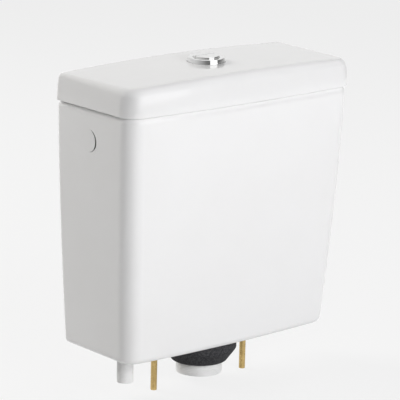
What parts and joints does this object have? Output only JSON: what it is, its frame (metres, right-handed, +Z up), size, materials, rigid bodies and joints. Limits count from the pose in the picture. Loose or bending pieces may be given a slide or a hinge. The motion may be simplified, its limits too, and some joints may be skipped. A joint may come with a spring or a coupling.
{
  "type": "toilet cistern",
  "caption": "Close-coupled glazed china toilet cistern with a lift-off lid, a chrome dual flush button, a flush valve, a float fill valve and coupling bolts.",
  "frame": {"origin": "on the flush outlet's axis, at the plane of the tank's underside", "axes": "+X to the right seen from the front, +Y towards the wall behind, +Z up"},
  "size_m": [0.37, 0.155, 0.4265],
  "materials": {
    "china": "gloss white glaze",
    "chrome": "polished plate",
    "white_plastic": "moulded",
    "grey_plastic": "moulded",
    "blue_plastic": "moulded",
    "rubber": "smooth",
    "foam": "closed-cell foam",
    "steel": "zinc plated",
    "brass": "machined"
  },
  "bodies": {
    "tank": {"tank": "china", "seat_washer": "rubber", "valve_seat": "white_plastic", "tail_backnut": "white_plastic", "coupling_gasket": "foam", "valve_tower": "white_plastic", "lever_pins": "steel", "fill_riser": "white_plastic", "shank_washer": "rubber", "shank_backnut": "white_plastic", "height_lock_ring": "blue_plastic", "outlet_sleeve": "white_plastic", "valve_head": "white_plastic", "diaphragm": "rubber", "head_cap": "grey_plastic", "float_lever_pin": "steel", "coupling_bolts": "brass", "bolt_seals": "rubber", "bolt_plates": "steel", "bolt_nuts": "brass", "side_plug": "white_plastic", "plug_seal": "rubber", "plug_nut": "white_plastic"},
    "lid": {"cistern_lid": "china", "button_bezel": "chrome", "bezel_gasket": "foam", "bezel_backnut": "white_plastic", "button_cartridge": "white_plastic"},
    "full_button": {"full_flush_button": "chrome", "full_push_rod": "white_plastic", "full_spring": "steel"},
    "half_button": {"half_flush_button": "chrome", "half_push_rod": "white_plastic", "half_spring": "steel"},
    "full_lever": {"full_lever": "blue_plastic"},
    "half_lever": {"half_lever": "grey_plastic"},
    "flush_tube": {"overflow_tube": "grey_plastic", "flush_seal": "rubber", "seal_retainer": "white_plastic", "lift_yoke": "blue_plastic", "full_float": "white_plastic"},
    "half_float": {"half_float": "white_plastic", "half_lift_strap": "grey_plastic"},
    "fill_float": {"float_cup": "grey_plastic", "float_rod": "white_plastic"},
    "float_lever": {"float_lever": "blue_plastic"}
  },
  "joints": [
    {"name": "lid_lift", "type": "slide", "parent": "tank", "child": "lid", "axis": [0, 0, 1], "range_m": [0, 0.13]},
    {"name": "full_press", "type": "slide", "parent": "lid", "child": "full_button", "axis": [0, 0, -1], "range_m": [0, 0.008], "stiffness_N_per_m": 400, "springref_m": -0.004, "deforming": ["full_spring"]},
    {"name": "half_press", "type": "slide", "parent": "lid", "child": "half_button", "axis": [0, 0, -1], "range_m": [0, 0.008], "stiffness_N_per_m": 400, "springref_m": -0.004, "deforming": ["half_spring"]},
    {"name": "full_lever_pivot", "type": "hinge", "parent": "tank", "child": "full_lever", "pos_m": [0.022, -0.008, 0.25191], "axis": [0, -1, 0], "range_deg": [0, 20.83]},
    {"name": "half_lever_pivot", "type": "hinge", "parent": "tank", "child": "half_lever", "pos_m": [-0.022, 0.009, 0.25191], "axis": [0, 1, 0], "range_deg": [0, 20.83]},
    {"name": "flush_tube_lift", "type": "slide", "parent": "tank", "child": "flush_tube", "axis": [0, 0, 1], "range_m": [0, 0.01091]},
    {"name": "half_float_lift", "type": "slide", "parent": "tank", "child": "half_float", "axis": [0, 0, 1], "range_m": [0, 0.01091]},
    {"name": "fill_float_rise", "type": "slide", "parent": "tank", "child": "fill_float", "axis": [0, 0, 1], "range_m": [0, 0.008]},
    {"name": "float_lever_pivot", "type": "hinge", "parent": "tank", "child": "float_lever", "pos_m": [-0.12, 0.00525, 0.2905], "axis": [0, -1, 0], "range_deg": [0, 17.63]}
  ],
  "couplings": [
    {"joint": "full_lever_pivot", "follows": "full_press", "rad_per_m": 45.455},
    {"joint": "flush_tube_lift", "follows": "full_press", "ratio": 1.3636},
    {"joint": "half_lever_pivot", "follows": "half_press", "rad_per_m": 45.455},
    {"joint": "half_float_lift", "follows": "half_press", "ratio": 1.3636},
    {"joint": "float_lever_pivot", "follows": "fill_float_rise", "rad_per_m": 38.462}
  ]
}
